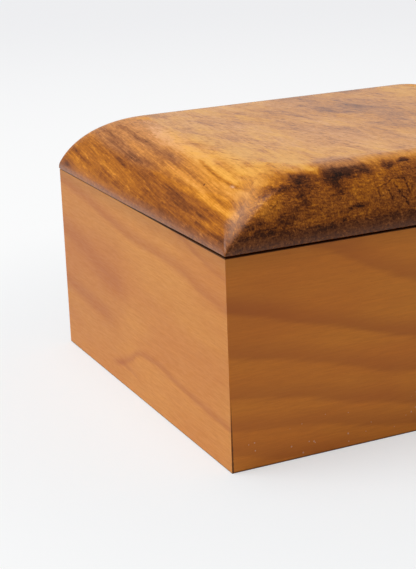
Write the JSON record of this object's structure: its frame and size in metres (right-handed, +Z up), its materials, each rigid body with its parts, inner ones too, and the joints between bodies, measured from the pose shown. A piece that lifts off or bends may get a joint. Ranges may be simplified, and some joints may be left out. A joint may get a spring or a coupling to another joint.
{
  "type": "keepsake box",
  "caption": "Keepsake box with mitred board sides and a solid pillow-topped lid in richly figured wood, hung on brass stop hinges at the back.",
  "frame": {"origin": "centre of the boards' footprint on the surface the box stands on", "axes": "+X to the right along the front, +Y to the back where the hinges are, +Z up"},
  "size_m": [0.2436, 0.2085, 0.1291],
  "materials": {
    "board_wood": "satin lacquered even-grained honey-brown wood",
    "tongue_wood": "bare plywood-like tongue, glued in",
    "bottom_wood": "satin sealed wood panel",
    "lid_wood": "gloss lacquered figured wood, gold to near-black brown",
    "lining_felt": "short-napped dark brown felt",
    "hinge_brass": "satin solid brass"
  },
  "bodies": {
    "box": {"front_board": "board_wood", "back_board": "board_wood", "left_end_board": "board_wood", "right_end_board": "board_wood", "mitre_tongue_front_left": "tongue_wood", "mitre_tongue_front_right": "tongue_wood", "mitre_tongue_back_left": "tongue_wood", "mitre_tongue_back_right": "tongue_wood", "bottom_panel": "bottom_wood", "base_lining": "lining_felt", "left_hinge_body_leaf": "hinge_brass", "right_hinge_body_leaf": "hinge_brass", "left_hinge_pin": "hinge_brass", "right_hinge_pin": "hinge_brass", "body_hinge_screws": "hinge_brass"},
    "lid": {"lid": "lid_wood", "lid_lining": "lining_felt", "left_hinge_lid_leaf": "hinge_brass", "right_hinge_lid_leaf": "hinge_brass", "lid_hinge_screws": "hinge_brass"}
  },
  "joints": [
    {"name": "lid_hinge", "type": "hinge", "parent": "box", "child": "lid", "pos_m": [0, 0.103, 0.10035], "axis": [-1, 0, 0], "range_deg": [0, 95]}
  ]
}
